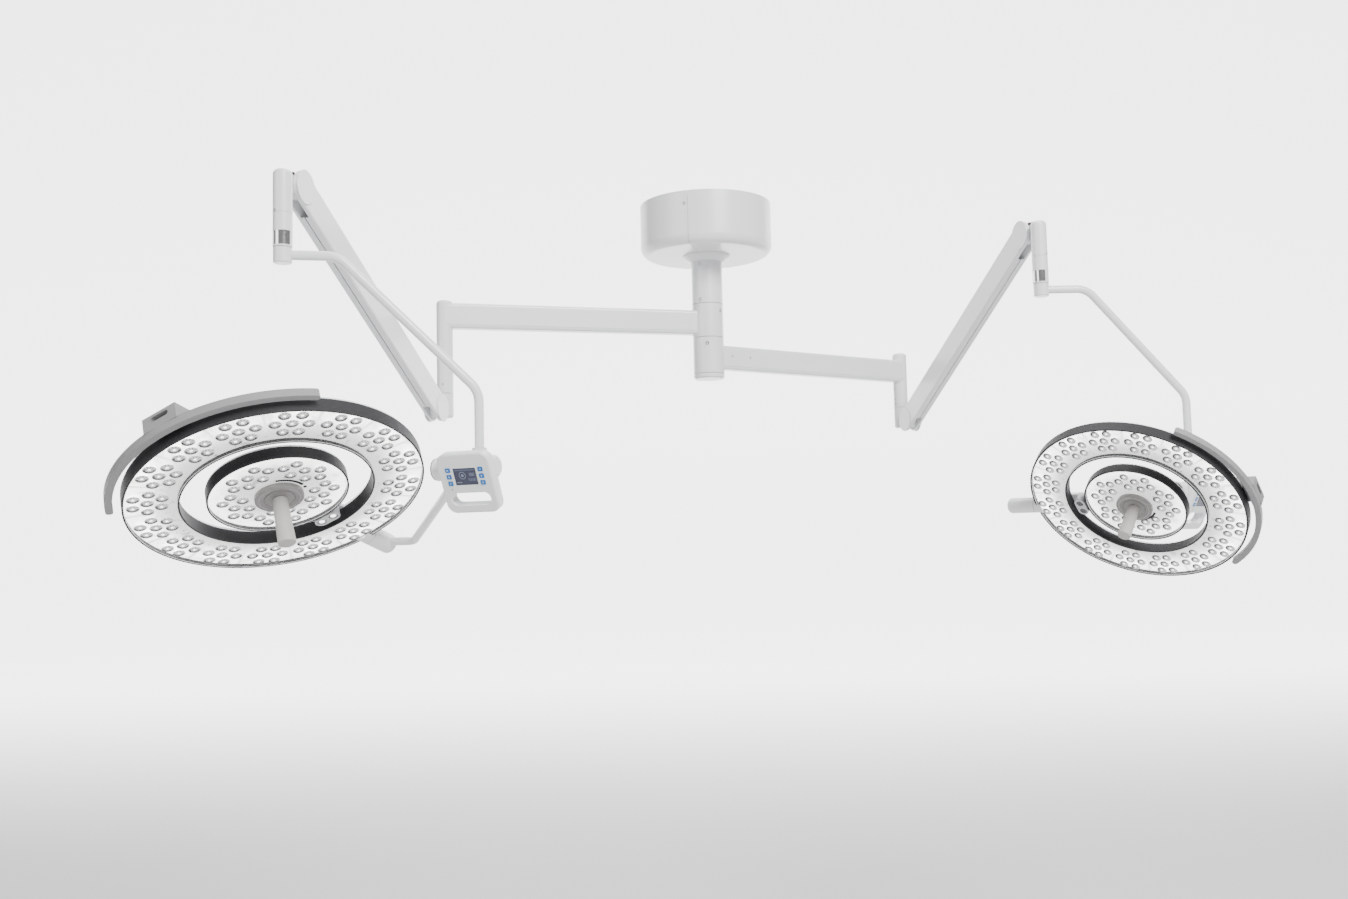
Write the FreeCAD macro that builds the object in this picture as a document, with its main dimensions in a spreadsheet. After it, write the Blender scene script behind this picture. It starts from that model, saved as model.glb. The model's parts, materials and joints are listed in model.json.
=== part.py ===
import FreeCAD, Part
import math
import os
import Sketcher
from FreeCAD import Placement, Rotation, Vector

# A twin surgical light that hangs from one ceiling column. Each lamp has a turning
# extension arm, a balanced spring arm, a bent yoke, a joint block with a control panel,
# a fork and a ring-shaped lamp head with an inner disc. All sizes are in millimetres.
# The frame is +Z up, with the origin at the middle of the ceiling face.

doc = FreeCAD.newDocument("SurgicalLight")
sheet = doc.addObject("Spreadsheet::Sheet", "Sizes")

SIZES = {
    # ceiling column
    "canopyRadius": 205, "canopyHeight": 160, "canopyWall": 3, "canopyRound": 28,
    "canopySeam": 1, "canopyTurn": -16.5, "plateRadius": 150, "plateThickness": 12,
    "boltCircleRadius": 110, "boltHoleRadius": 7, "collarRadius": 75, "collarTop": 152, "collarBottom": 180,
    "columnRadius": 48, "spindleRadius": 30, "columnWall": 8, "screwRadius": 6,
    "downTubeBottom": 313, "upperHubBottom": 419, "lowerHubBottom": 532,
    "columnEnd": 548, "jointGap": 1.2, "runningGap": 0.06,
    # extension arms
    "beamReach": 815, "beamHeight": 74.5, "beamWidth": 46, "beamRound": 9,
    "leftBeamMiddle": 372, "rightBeamMiddle": 478, "endTubeRadius": 24,
    "endTubeBottom": 602, "leftEndTop": 325, "rightEndTop": 413,
    # knuckle, spring arm and head joint
    "pinSocketRadius": 14, "knuckleDrop": 72, "pivotOut": 68, "pivotDrop": 49,
    "tongueWidth": 18, "tongueRadius": 28, "springReach": 896, "springHeight": 76,
    "springWidth": 40, "springWall": 3.5, "cheekGap": 1.5, "coverRadius": 43, "armGroove": 3,
    "windowAngle": 120, "coverThickness": 3, "pivotPinRadius": 8, "headJointOut": 66, "headJointRadius": 21.5,
    "headJointTop": 24, "windowTop": 118, "windowBottom": 150, "sleeveTop": 155,
    "sleeveBottom": 190, "sleeveRadius": 20.7,
    # yoke tubes
    "tubeRadius": 11, "tubeBend": 62, "yokeDrop": 171, "yokeFall": 305,
    "leftYokeFirst": 119, "rightYokeFirst": 127, "leftYokeReach": 431,
    "rightYokeReach": 392, "leftYokeHang": 175, "rightYokeHang": 269,
    # joint block and control panel
    "blockRadius": 27.5, "blockOuter": 48, "blockSplit": 15, "blockInner": 118,
    "blockBossRadius": 17, "blockBossTop": 44, "panelWidth": 140, "panelLength": 144,
    "panelDepth": 26, "panelTilt": 24, "panelAcross": -15, "panelDown": 23,
    "panelForward": 42, "handleWidth": 106, "handleLength": 31,
    "screenWidth": 60, "screenLength": 41, "keyWidth": 13, "keyLength": 11,
    # lamp heads
    "forkOut": 545, "forkBack": 33, "forkDrop": 41,
    "leftHeadRadius": 350, "rightHeadRadius": 265, "wallThickness": 4,
    # resting pose, in degrees
    "leftExtensionTurn": 196.1, "leftArmTurn": 257.6, "leftArmRise": 28.6,
    "leftYokeTurn": 11.7, "leftBlockTurn": -23.8, "leftForkPitch": -17.4,
    "leftHeadRoll": -24.9, "leftWindowTurn": 21,
    "rightExtensionTurn": 33.9, "rightArmTurn": -74.4, "rightArmRise": 30.1,
    "rightYokeTurn": 1.4, "rightBlockTurn": 46.2, "rightForkPitch": 0.5,
    "rightHeadRoll": 43.3, "rightWindowTurn": -55,
}

for row, (alias, number) in enumerate(SIZES.items(), 1):
    sheet.set("A%d" % row, alias)
    sheet.set("B%d" % row, str(number))
    sheet.setAlias("B%d" % row, alias)
doc.recompute()


class Size:
    """A length or angle with the sheet expression that gives it."""

    def __init__(self, value, text):
        self.value = float(value)
        self.text = text

    def joined(self, other, sign, value):
        return Size(value, "(%s %s %s)" % (self.text, sign, wrap(other).text))

    def __add__(self, other):
        return self.joined(other, "+", self.value + wrap(other).value)

    def __sub__(self, other):
        return self.joined(other, "-", self.value - wrap(other).value)

    def __mul__(self, other):
        return self.joined(other, "*", self.value * wrap(other).value)

    def __truediv__(self, other):
        return self.joined(other, "/", self.value / wrap(other).value)

    def __neg__(self):
        return Size(-self.value, "(0 - %s)" % self.text)

    def __float__(self):
        return self.value


def wrap(item):
    if isinstance(item, Size):
        return item
    return Size(item, repr(float(item)))


def get(name):
    """The sheet cell of that name as a Size."""
    return Size(float(sheet.get(name)), "Sizes." + name)


def num(name):
    """The sheet cell of that name as a plain number."""
    return float(sheet.get(name))


ORIGIN = Placement()


def shift(x, y, z):
    return Placement(Vector(float(x), float(y), float(z)), Rotation())


def spin(axis, degrees):
    return Placement(Vector(0, 0, 0), Rotation(Vector(*axis), float(degrees)))


# ---------------------------------------------------------------- building helpers

def turned(label, profile, place):
    """A body of revolution about Z from (radius, height) corners."""
    body = doc.addObject("PartDesign::Body", label)
    plane = [item for item in body.Origin.OriginFeatures if item.Role == "XZ_Plane"][0]
    sketch = body.newObject("Sketcher::SketchObject", "Profile")
    sketch.AttachmentSupport = [(plane, "")]
    sketch.MapMode = "FlatFace"
    corners = [(wrap(across), wrap(up)) for across, up in profile]
    count = len(corners)
    for index, (across, up) in enumerate(corners):
        next_across, next_up = corners[(index + 1) % count]
        start = Vector(across.value, up.value, 0)
        end = Vector(next_across.value, next_up.value, 0)
        sketch.addGeometry(Part.LineSegment(start, end), False)
    for index in range(count):
        sketch.addConstraint(
            Sketcher.Constraint("Coincident", index, 2, (index + 1) % count, 1))
    for index, corner in enumerate(corners):
        for kind, length in zip(("DistanceX", "DistanceY"), corner):
            number = sketch.addConstraint(
                Sketcher.Constraint(kind, -1, 1, index, 1, length.value))
            sketch.setExpression("Constraints[%d]" % number, length.text)
    feature = body.newObject("PartDesign::Revolution", "Turned")
    feature.Profile = sketch
    feature.ReferenceAxis = (sketch, ["V_Axis"])
    feature.Angle = 360
    sketch.Visibility = False
    body.Placement = place
    doc.recompute()
    return body


def shaped(label, shape, place):
    """A feature that holds a shape made from the sheet's sizes."""
    item = doc.addObject("Part::Feature", label)
    item.Shape = shape
    item.Placement = place.multiply(shape.Placement)
    return item


def cylinder(radius, start, end):
    """A solid cylinder between two points."""
    axis = end - start
    return Part.makeCylinder(radius, axis.Length, start, axis)


def box(low, high):
    size = high - low
    return Part.makeBox(size.x, size.y, size.z, low)


def fused(shapes):
    joined = shapes[0].multiFuse(shapes[1:])
    return joined.removeSplitter()


def soft(shape, radius, chosen):
    """The shape with the chosen edges rounded."""
    return shape.makeFillet(radius, [edge for edge in shape.Edges if chosen(edge)])


def ring(inner, outer, low, high):
    solid = Part.makeCylinder(outer, high - low, Vector(0, 0, low))
    return solid.cut(Part.makeCylinder(inner, high - low, Vector(0, 0, low)))


def bent_tube(points, radius, bend, inner=0):
    """A round tube along straight runs, with a bend of the given radius at each corner."""
    edges = []
    last = points[0]
    for before, corner, after in zip(points, points[1:], points[2:]):
        arrive = (corner - before).normalize()
        leave = (after - corner).normalize()
        angle = arrive.getAngle(leave)
        back = bend * math.tan(angle / 2)
        start = corner - arrive * back
        end = corner + leave * back
        inward = (leave - arrive).normalize()
        middle = corner + inward * (bend / math.cos(angle / 2) - bend)
        edges.append(Part.LineSegment(last, start).toShape())
        edges.append(Part.Arc(start, middle, end).toShape())
        last = end
    edges.append(Part.LineSegment(last, points[-1]).toShape())
    path = Part.Wire(edges)
    outline = Part.Wire(Part.makeCircle(radius, points[0], points[1] - points[0]))
    solid = path.makePipeShell([outline], True, False)
    if inner:
        hollow = Part.Wire(Part.makeCircle(inner, points[0], points[1] - points[0]))
        solid = solid.cut(path.makePipeShell([hollow], True, False))
    return solid


def capsule(length, width, height, low):
    """An upright slab with round ends, long along X, standing at height low."""
    half = length / 2 - width / 2
    slab = box(Vector(-half, -width / 2, low), Vector(half, width / 2, low + height))
    ends = [Part.makeCylinder(width / 2, height, Vector(side * half, 0, low))
            for side in (-1, 1)]
    return fused([slab] + ends)


# ---------------------------------------------------------------- ceiling column

plate = turned("ceiling_plate", [
    (get("spindleRadius") - 6, 0), (get("plateRadius"), 0),
    (get("plateRadius"), -get("plateThickness")),
    (get("columnRadius"), -get("plateThickness")),
    (get("columnRadius"), -get("downTubeBottom")),
    (get("columnRadius") - get("columnWall"), -get("downTubeBottom")),
    (get("columnRadius") - get("columnWall"), get("plateThickness") * -2),
    (get("spindleRadius") - 6, get("plateThickness") * -2)], ORIGIN)
bolt_sketch = plate.newObject("Sketcher::SketchObject", "BoltHole")
bolt_plane = [item for item in plate.Origin.OriginFeatures if item.Role == "XY_Plane"][0]
bolt_sketch.AttachmentSupport = [(bolt_plane, "")]
bolt_sketch.MapMode = "FlatFace"
bolt_sketch.addGeometry(Part.Circle(Vector(num("boltCircleRadius"), 0, 0), Vector(0, 0, 1),
                                    num("boltHoleRadius")), False)
for kind, arguments, length in (
        ("DistanceX", (-1, 1, 0, 3), "boltCircleRadius"), ("Radius", (0,), "boltHoleRadius")):
    constraint = bolt_sketch.addConstraint(
        Sketcher.Constraint(kind, *arguments, num(length)))
    bolt_sketch.setExpression("Constraints[%d]" % constraint, get(length).text)
bolt_sketch.addConstraint(Sketcher.Constraint("PointOnObject", 0, 3, -1))
doc.recompute()
bolt_hole = plate.newObject("PartDesign::Pocket", "BoltHolePocket")
bolt_hole.Profile = bolt_sketch
bolt_hole.Type = 1
bolt_hole.Midplane = True
doc.recompute()
pattern = plate.newObject("PartDesign::PolarPattern", "BoltPattern")
pattern.Originals = [bolt_hole]
pattern.Axis = (bolt_sketch, ["N_Axis"])
pattern.Angle = 360
pattern.Occurrences = 6
plate.Tip = pattern
doc.recompute()


def canopy_half(label, side):
    """One half of the cover that hides the ceiling plate."""
    outer, height, wall = num("canopyRadius"), num("canopyHeight"), num("canopyWall")
    shell = Part.makeCylinder(outer, height - 1, Vector(0, 0, -height))
    shell = soft(shell, num("canopyRound"),
                 lambda edge: abs(edge.BoundBox.ZMax + height) < 0.01)
    inside = Part.makeCylinder(outer - wall, height - wall, Vector(0, 0, wall - height))
    inside = soft(inside, num("canopyRound") - wall,
                  lambda edge: abs(edge.BoundBox.ZMax + height - wall) < 0.01)
    inside = inside.fuse(Part.makeCylinder(num("columnRadius") + 0.8, height,
                                           Vector(0, 0, -height - 1)))
    gap = num("canopySeam") / 2
    keep = box(Vector(gap, -outer - 1, -height - 1), Vector(outer + 1, outer + 1, 1))
    half = shell.cut(inside).common(keep)
    tabs = []
    for near, far in ((outer - 26, outer - 1), (1 - outer, 26 - outer)):
        tab = box(Vector(gap, near, -60), Vector(gap + 12, far, -40))
        tabs.append(tab.common(Part.makeCylinder(outer - wall / 2, height,
                                                 Vector(0, 0, -height))))
    lip = ring(num("plateRadius") - 12, outer - wall / 2, -num("plateThickness") - 5,
               -num("plateThickness")).common(keep)
    half = fused([half, lip] + tabs)
    shaped(label, half, spin((0, 0, 1), num("canopyTurn") + side))


canopy_half("canopy_left", 180)
canopy_half("canopy_right", 0)

collar = turned("canopy_collar", [
    (get("columnRadius"), -get("collarBottom")),
    (get("columnRadius") + 4, -get("collarBottom")),
    (get("collarRadius") - 4, -get("canopyHeight") - 7),
    (get("collarRadius"), -get("canopyHeight") - 3),
    (get("collarRadius"), -get("canopyHeight")),
    (get("columnRadius"), -get("canopyHeight"))], ORIGIN)

spindle = turned("column_spindle", [
    (get("spindleRadius") - 10, get("plateThickness") * -2),
    (get("spindleRadius"), get("plateThickness") * -2),
    (get("spindleRadius"), get("downTubeBottom") * -1 + 40),
    (get("columnRadius") - get("columnWall"), get("downTubeBottom") * -1 + 40),
    (get("columnRadius") - get("columnWall"), -get("downTubeBottom")),
    (get("spindleRadius"), -get("downTubeBottom")),
    (get("spindleRadius"), -get("lowerHubBottom") - get("jointGap")),
    (get("spindleRadius") - 10, -get("lowerHubBottom") - get("jointGap"))], ORIGIN)

cap = turned("column_cap", [
    (0.0, -get("columnEnd")), (get("columnRadius") - 5, -get("columnEnd")),
    (get("columnRadius"), get("columnEnd") * -1 + 5),
    (get("columnRadius"), -get("lowerHubBottom") - get("jointGap")),
    (0.0, -get("lowerHubBottom") - get("jointGap"))], ORIGIN)


def hub(label, top, bottom, turn):
    """A turning hub on the column, bored to run on the spindle."""
    bore = get("spindleRadius") + get("runningGap")
    body = turned(label, [(bore, -bottom), (get("columnRadius") - 1.5, -bottom),
                          (get("columnRadius"), bottom * -1 + 1.5),
                          (get("columnRadius"), top * -1 - 1.5),
                          (get("columnRadius") - 1.5, -top), (bore, -top)], turn)
    return body


def beam(label, middle, turn):
    """A hollow extension beam with rounded edges, trimmed to the hub and the end tube."""
    height, width, reach = num("beamHeight"), num("beamWidth"), num("beamReach")
    outer = box(Vector(0, -width / 2, -height / 2), Vector(reach, width / 2, height / 2))
    outer = soft(outer, num("beamRound"), lambda edge: edge.BoundBox.XLength > 100)
    lip = box(Vector(0, -width / 2 - 1.5, -height / 2 + 10),
              Vector(reach, width / 2 + 1.5, -height / 2 + 13))
    hollow = box(Vector(0, -width / 2 + 5, -height / 2 + 5),
                 Vector(reach, width / 2 - 5, height / 2 - 5))
    solid = outer.fuse(lip).removeSplitter().cut(hollow)
    for radius, across in ((num("columnRadius"), 0), (num("endTubeRadius"), reach)):
        solid = solid.cut(Part.makeCylinder(radius, height * 2, Vector(across, 0, -height)))
    solid = max(solid.Solids, key=lambda piece: piece.Volume)
    return shaped(label, solid, turn.multiply(shift(0, 0, -middle)))


def end_tube(label, top, turn):
    """The upright tube at a beam's end, with a domed cap and a socket for the knuckle."""
    radius = get("endTubeRadius")
    bore = get("pinSocketRadius") + get("runningGap")
    body = turned(label, [
        (0.0, -top), (radius * 0.6, top * -1 - 1), (radius * 0.88, top * -1 - 4),
        (radius, top * -1 - 9), (radius, -get("endTubeBottom")),
        (bore, -get("endTubeBottom")), (bore, get("endTubeBottom") * -1 + 84),
        (0.0, get("endTubeBottom") * -1 + 84)], turn.multiply(shift(num("beamReach"), 0, 0)))
    return body


# ---------------------------------------------------------------- spring arms

def rounded_bar(length, height, width):
    """A flat bar from pivot to pivot along X, with round ends."""
    radius = height / 2
    bar = box(Vector(0, -width / 2, -radius), Vector(length, width / 2, radius))
    ends = [cylinder(radius, Vector(along, -width / 2, 0), Vector(along, width / 2, 0))
            for along in (0, length)]
    return fused([bar] + ends)


def pivot_bore(along):
    reach = num("springWidth")
    radius = num("pivotPinRadius") + num("runningGap")
    return cylinder(radius, Vector(along, -reach, 0), Vector(along, reach, 0))


def knuckle(label, place):
    """The swivel below the end tube, with its spigot and the tongue of the arm's pivot."""
    radius, out, drop = num("endTubeRadius"), num("pivotOut"), num("pivotDrop")
    half = num("tongueWidth") / 2
    gap = num("jointGap")
    low = -num("knuckleDrop")
    post = Part.makeCylinder(radius, -gap - low, Vector(0, 0, low))
    post = soft(post, 8, lambda edge: abs(edge.BoundBox.ZMax - low) < 0.01)
    spigot = Part.makeCylinder(num("pinSocketRadius"), 80 + gap, Vector(0, 0, -gap))
    tongue = box(Vector(0, -half, -drop - 20), Vector(out, half, -drop + 20))
    boss = cylinder(num("tongueRadius"), Vector(out, -half, -drop), Vector(out, half, -drop))
    bore = pivot_bore(out)
    bore.translate(Vector(0, 0, -drop))
    solid = fused([post, spigot, tongue, boss]).cut(bore)
    return shaped(label, solid, place)


def spring_arm(label, place):
    """The arm's shell: a box with an open slot below and a cheek on each side of a pivot."""
    length, height, width = num("springReach"), num("springHeight"), num("springWidth")
    wall = num("springWall")
    slot = num("tongueWidth") / 2 + num("cheekGap")
    clear = height / 2 + 22
    outer = rounded_bar(length, height, width)
    outer = soft(outer, 5, lambda edge: edge.BoundBox.XLength > 100 and
                 abs(abs(edge.BoundBox.YMax) - width / 2) < 0.01)
    inner = box(Vector(clear, -width / 2 + wall, -height / 2 + wall),
                Vector(length - clear, width / 2 - wall, height / 2 - wall))
    narrow = num("armGroove") / 2
    groove = box(Vector(clear, -narrow, -height), Vector(length - clear, narrow, 0))
    solid = outer.cut(inner).cut(groove)
    for along in (-height, length - clear):
        solid = solid.cut(box(Vector(along, -slot, -height),
                              Vector(along + height + clear, slot, height)))
    for along in (0, length):
        pin = num("pivotPinRadius")
        solid = solid.cut(cylinder(pin, Vector(along, -width, 0), Vector(along, width, 0)))
    return shaped(label, solid, place)


def spring_strut(label, place):
    """The balancing strut inside the arm, hung from the shell's upper wall."""
    length, height, wall = num("springReach"), num("springHeight"), num("springWall")
    top = height / 2 - wall
    inner_half = num("springWidth") / 2 - wall
    low, middle, high = length * 0.13, length * 0.58, length * 0.84
    body = cylinder(13, Vector(low + 14, 0, 2), Vector(middle, 0, 2))
    shaft = cylinder(6, Vector(middle, 0, 2), Vector(high, 0, 2))
    lugs = [box(Vector(along, -inner_half, -12), Vector(along + 14, inner_half, top))
            for along in (low, high)]
    solid = fused([body, shaft] + lugs)
    return shaped(label, solid, place)


def pivot_covers(label, place):
    """Round covers on both sides of each pivot, each pair on its own pin."""
    half, thick = num("springWidth") / 2, num("coverThickness")
    pieces = []
    for along in (0, num("springReach")):
        pin = cylinder(num("pivotPinRadius"), Vector(along, -half, 0), Vector(along, half, 0))
        parts = [pin]
        for side in (-1, 1):
            disc = cylinder(num("coverRadius") - 3, Vector(along, side * half, 0),
                            Vector(along, side * (half + thick), 0))
            disc = soft(disc, 1.5, lambda edge: edge.BoundBox.YLength < 0.01 and
                        abs(abs(edge.BoundBox.YMax) - half - thick) < 0.01)
            parts.append(disc)
        pieces.append(fused(parts))
    return shaped(label, Part.makeCompound(pieces), place)


def head_joint(label, place, window_turn):
    """The upright joint at the arm's outer end, with a window for the lock segment."""
    radius, out = num("headJointRadius"), num("headJointOut")
    half = num("tongueWidth") / 2
    top, bottom = num("headJointTop"), -num("sleeveTop") + num("jointGap")
    post = Part.makeCylinder(radius, top - bottom, Vector(out, 0, bottom))
    post = soft(post, 12, lambda edge: abs(edge.BoundBox.ZMin - top) < 0.01)
    groove = ring(radius - 1, radius + 1, -num("sleeveTop") + 77, -num("sleeveTop") + 79)
    groove.translate(Vector(out, 0, 0))
    tongue = box(Vector(0, -half, -22), Vector(out, half, 20))
    boss = cylinder(num("tongueRadius"), Vector(0, -half, 0), Vector(0, half, 0))
    socket = Part.makeCylinder(num("pinSocketRadius") + num("runningGap"), 70,
                               Vector(out, 0, bottom))
    wedge = Part.makeCylinder(radius + 2, num("windowBottom") - num("windowTop"),
                              Vector(0, 0, -num("windowBottom")), Vector(0, 0, 1),
                              num("windowAngle"))
    wedge.rotate(Vector(0, 0, 0), Vector(0, 0, 1), window_turn - num("windowAngle") / 2)
    wedge.translate(Vector(out, 0, 0))
    solid = fused([post, tongue, boss]).cut(socket).cut(wedge).cut(groove).cut(pivot_bore(0))
    return shaped(label, solid, place)


def lock_segment(label, place, window_turn):
    """The bright segment that locks the yoke's spindle, seen in the joint's window."""
    inner = num("pinSocketRadius") + 0.4
    height = num("windowBottom") - num("windowTop")
    sector = Part.makeCylinder(num("headJointRadius") - 0.8, height,
                               Vector(0, 0, -num("windowBottom")), Vector(0, 0, 1),
                               num("windowAngle"))
    sector = sector.cut(Part.makeCylinder(inner, height, Vector(0, 0, -num("windowBottom"))))
    sector.rotate(Vector(0, 0, 0), Vector(0, 0, 1), window_turn - num("windowAngle") / 2)
    sector.translate(Vector(num("headJointOut"), 0, 0))
    return shaped(label, sector, place)


# ---------------------------------------------------------------- yoke, block and panel

def yoke(label, place, first, reach, hang):
    """The bent tube from the head joint's sleeve to the joint block's socket."""
    drop, fall, radius = num("yokeDrop"), num("yokeFall"), num("tubeRadius")
    block_middle = -drop - fall - hang
    end = block_middle + num("blockBossTop") + num("jointGap")
    tube = bent_tube([Vector(0, 0, -drop), Vector(first, 0, -drop),
                      Vector(reach, 0, -drop - fall), Vector(reach, 0, end)],
                     radius, num("tubeBend"))
    sleeve = Part.makeCylinder(num("sleeveRadius"), num("sleeveBottom") - num("sleeveTop"),
                               Vector(0, 0, -num("sleeveBottom")))
    sleeve = soft(sleeve, 3, lambda edge: edge.BoundBox.ZLength < 0.01 and
                  abs(edge.BoundBox.ZMin + num("sleeveBottom")) < 0.01)
    spigot = Part.makeCylinder(num("pinSocketRadius"), 66, Vector(0, 0, -num("sleeveTop")))
    foot = Part.makeCylinder(radius - 3, 26, Vector(reach, 0, end - 26))
    return shaped(label, fused([tube, sleeve, spigot, foot]), place)


def joint_block(label, place):
    """The fixed end of the joint block: half a barrel with an upright socket on it."""
    radius, outer, split = num("blockRadius"), num("blockOuter"), num("blockSplit")
    barrel = cylinder(radius, Vector(-split, 0, 0), Vector(outer, 0, 0))
    barrel = soft(barrel, 12, lambda edge: abs(edge.BoundBox.XMin - outer) < 0.01)
    boss = Part.makeCylinder(num("blockBossRadius"), num("blockBossTop"), Vector(0, 0, 0))
    boss = boss.cut(box(Vector(-2 * radius, -radius, -1),
                        Vector(-split, radius, radius + num("jointGap"))))
    socket = Part.makeCylinder(num("tubeRadius") - 3 + num("runningGap"), 30,
                               Vector(0, 0, num("blockBossTop") - 28))
    pin = cylinder(10, Vector(-split - 60, 0, 0), Vector(-split, 0, 0))
    solid = fused([barrel, boss, pin]).cut(socket)
    return shaped(label, solid, place)


def panel_place(block):
    """The panel's frame: X across, Y up the face and +Z out of the face."""
    tilt = num("panelTilt")
    face = spin((1, 0, 0), 90 + tilt)
    move = shift(num("panelAcross"), -num("panelDown") * math.sin(math.radians(-tilt)),
                 -num("panelDown") * math.cos(math.radians(tilt)))
    return block.multiply(move).multiply(face).multiply(shift(0, 0, num("panelForward")))


def panel_housing(label, place):
    """The panel's case, with a raised rim and a handle opening at its lower end."""
    wide, long, deep = num("panelWidth"), num("panelLength"), num("panelDepth")
    case = box(Vector(-wide / 2, -long / 2, -deep), Vector(wide / 2, long / 2, 0))
    case = soft(case, 24, lambda edge: edge.BoundBox.ZLength > deep - 1)
    case = soft(case, 5, lambda edge: edge.BoundBox.ZLength < 0.01)
    grip = capsule(num("handleWidth"), num("handleLength"), deep + 2, -deep - 1)
    grip.translate(Vector(0, -long / 2 + num("handleLength") / 2 + 19, 0))
    screen = box(Vector(-num("screenWidth") / 2, -3, -2),
                 Vector(num("screenWidth") / 2, num("screenLength") - 3, 1))
    low = -num("panelAcross") - num("blockSplit") + 1
    stem = box(Vector(low, num("panelDown") - 18, -num("panelForward") + 6),
               Vector(low + 44, num("panelDown") + 18, -deep))
    barrel_gap = cylinder(num("blockRadius") + 0.8, Vector(-300, 0, 0),
                          Vector(-num("panelAcross") - num("blockSplit") - 1, 0, 0))
    barrel = cylinder(num("blockRadius"), Vector(-300, 0, 0), Vector(300, 0, 0))
    for cutter in (barrel_gap, barrel):
        cutter.translate(Vector(0, num("panelDown"), -num("panelForward")))
    solid = fused([case, stem]).cut(grip).cut(screen).cut(barrel_gap).cut(barrel)
    solid = max(solid.Solids, key=lambda piece: piece.Volume)
    return shaped(label, solid, place)


def panel_display(label, place):
    low = Vector(-num("screenWidth") / 2 + 0.2, -2.8, -2)
    high = Vector(num("screenWidth") / 2 - 0.2, num("screenLength") - 3.2, -0.4)
    return shaped(label, box(low, high), place)


def panel_keys(label, place):
    """Six raised key pads, three on each side of the screen."""
    pads = []
    wide, long = num("keyWidth"), num("keyLength")
    for side in (-1, 1):
        for step in (0, 1, 2):
            pad = box(Vector(-wide / 2, -long / 2, 0), Vector(wide / 2, long / 2, 1))
            pad = soft(pad, 2, lambda edge: edge.BoundBox.ZLength > 0.9)
            pad.translate(Vector(side * (num("screenWidth") / 2 + 13), 2 + step * 16, 0))
            pads.append(pad)
    return shaped(label, Part.makeCompound(pads), place)


# ---------------------------------------------------------------- fork and lamp head

def fork_barrel(label, place):
    """The turning end of the joint block, with a ring at its free end."""
    radius, split, end = num("blockRadius"), num("blockSplit"), num("blockInner")
    start = -split - num("jointGap")
    barrel = cylinder(radius, Vector(start, 0, 0), Vector(-end + 6, 0, 0))
    rim = cylinder(radius - 2.5, Vector(-end + 6, 0, 0), Vector(-end, 0, 0))
    bore = cylinder(10 + num("runningGap"), Vector(start, 0, 0), Vector(start - 62, 0, 0))
    return shaped(label, fused([barrel, rim]).cut(bore), place)


def fork_frame(side):
    """How far the head's middle is across, along and below the joint block's axis."""
    scale = num(side + "HeadRadius") / num("leftHeadRadius")
    return num("forkOut") * scale, num("forkBack") * scale, num("forkDrop") * scale


def fork_tube(label, place, side):
    """The bent tube from the joint block to the hub at the lamp head's edge."""
    across, along, below = fork_frame(side)
    outer = num(side + "HeadRadius")
    level = outer * 1.25 - along
    tube = bent_tube([Vector(-across, level, -below),
                      Vector(-across + outer * 0.275, level, -below),
                      Vector(-40, 0, 0)], num("tubeRadius"), 40)
    hub_radius = outer * 0.078
    hub_start = outer * 1.035 - along
    end = cylinder(hub_radius, Vector(-across, hub_start, -below),
                   Vector(-across, outer * 1.33 - along, -below))
    end = soft(end, hub_radius * 0.5,
               lambda edge: abs(edge.BoundBox.YMin - outer * 1.33 + along) < 0.01)
    bore = cylinder(outer * 0.03 + num("runningGap"), Vector(-across, hub_start - 1, -below),
                    Vector(-across, outer * 1.16 - along, -below))
    barrel = cylinder(num("blockRadius"), Vector(-200, 0, 0), Vector(50, 0, 0))
    return shaped(label, fused([tube, end]).cut(bore).cut(barrel), place)


def head_sizes(side):
    """The lamp head's main sizes, all tied to its radius."""
    outer = num(side + "HeadRadius")
    return {
        "outer": outer, "hole": outer * 0.642, "disc": outer * 0.475,
        "wall": outer * 0.1, "disc_wall": outer * 0.085, "cover": outer * 0.036,
        "skin": num("wallThickness"), "hub": outer * 0.078, "dish": outer * 0.166,
    }


def swept_ring(points):
    """A solid of revolution about Z from (radius, height) corners."""
    wire = Part.makePolygon([Vector(across, 0, up) for across, up in points + points[:1]])
    return Part.Face(wire).revolve(Vector(0, 0, 0), Vector(0, 0, 1), 360)


def head_shell(label, place, side):
    """The white back cover of ring and disc, the spoke between them and the hub's boss."""
    size = head_sizes(side)
    outer, hole, disc, wall = size["outer"], size["hole"], size["disc"], size["wall"]
    cover, skin = size["cover"], size["skin"]
    top = wall + cover
    ring_cover = swept_ring([
        (hole + 0.4, wall), (outer - 0.4, wall), (outer - 1.5, wall + cover * 0.35),
        (outer - cover * 0.7, wall + cover * 0.8), (outer - cover * 1.6, top),
        (hole + cover * 1.2, top), (hole + cover * 0.4, wall + cover * 0.7)])
    low = size["disc_wall"]
    disc_cover = swept_ring([
        (0, low), (disc - 0.4, low), (disc - 1.5, low + cover * 0.4),
        (disc - cover * 1.4, low + cover), (disc * 0.3, low + cover * 1.3),
        (0, low + cover * 1.3)])
    half = outer * 0.085
    spoke = box(Vector(-half, disc - outer * 0.12, wall),
                Vector(half, hole + outer * 0.06, wall + cover * 0.75))
    boss_up = wall * 0.55
    boss = cylinder(size["hub"], Vector(0, outer * 0.95, boss_up),
                    Vector(0, outer * 1.03, boss_up))
    boss = boss.cut(Part.makeCylinder(outer, wall, Vector(0, 0, 0)))
    saddle = box(Vector(-half, outer * 0.93, wall), Vector(half, outer * 1.01, wall + skin))
    pin = cylinder(outer * 0.03, Vector(0, outer * 0.99, boss_up),
                   Vector(0, outer * 1.15, boss_up))
    pin = pin.cut(Part.makeCylinder(outer, wall, Vector(0, 0, 0)))
    solid = fused([ring_cover, disc_cover, spoke, boss, saddle, pin])
    return shaped(label, solid, place)


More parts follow.
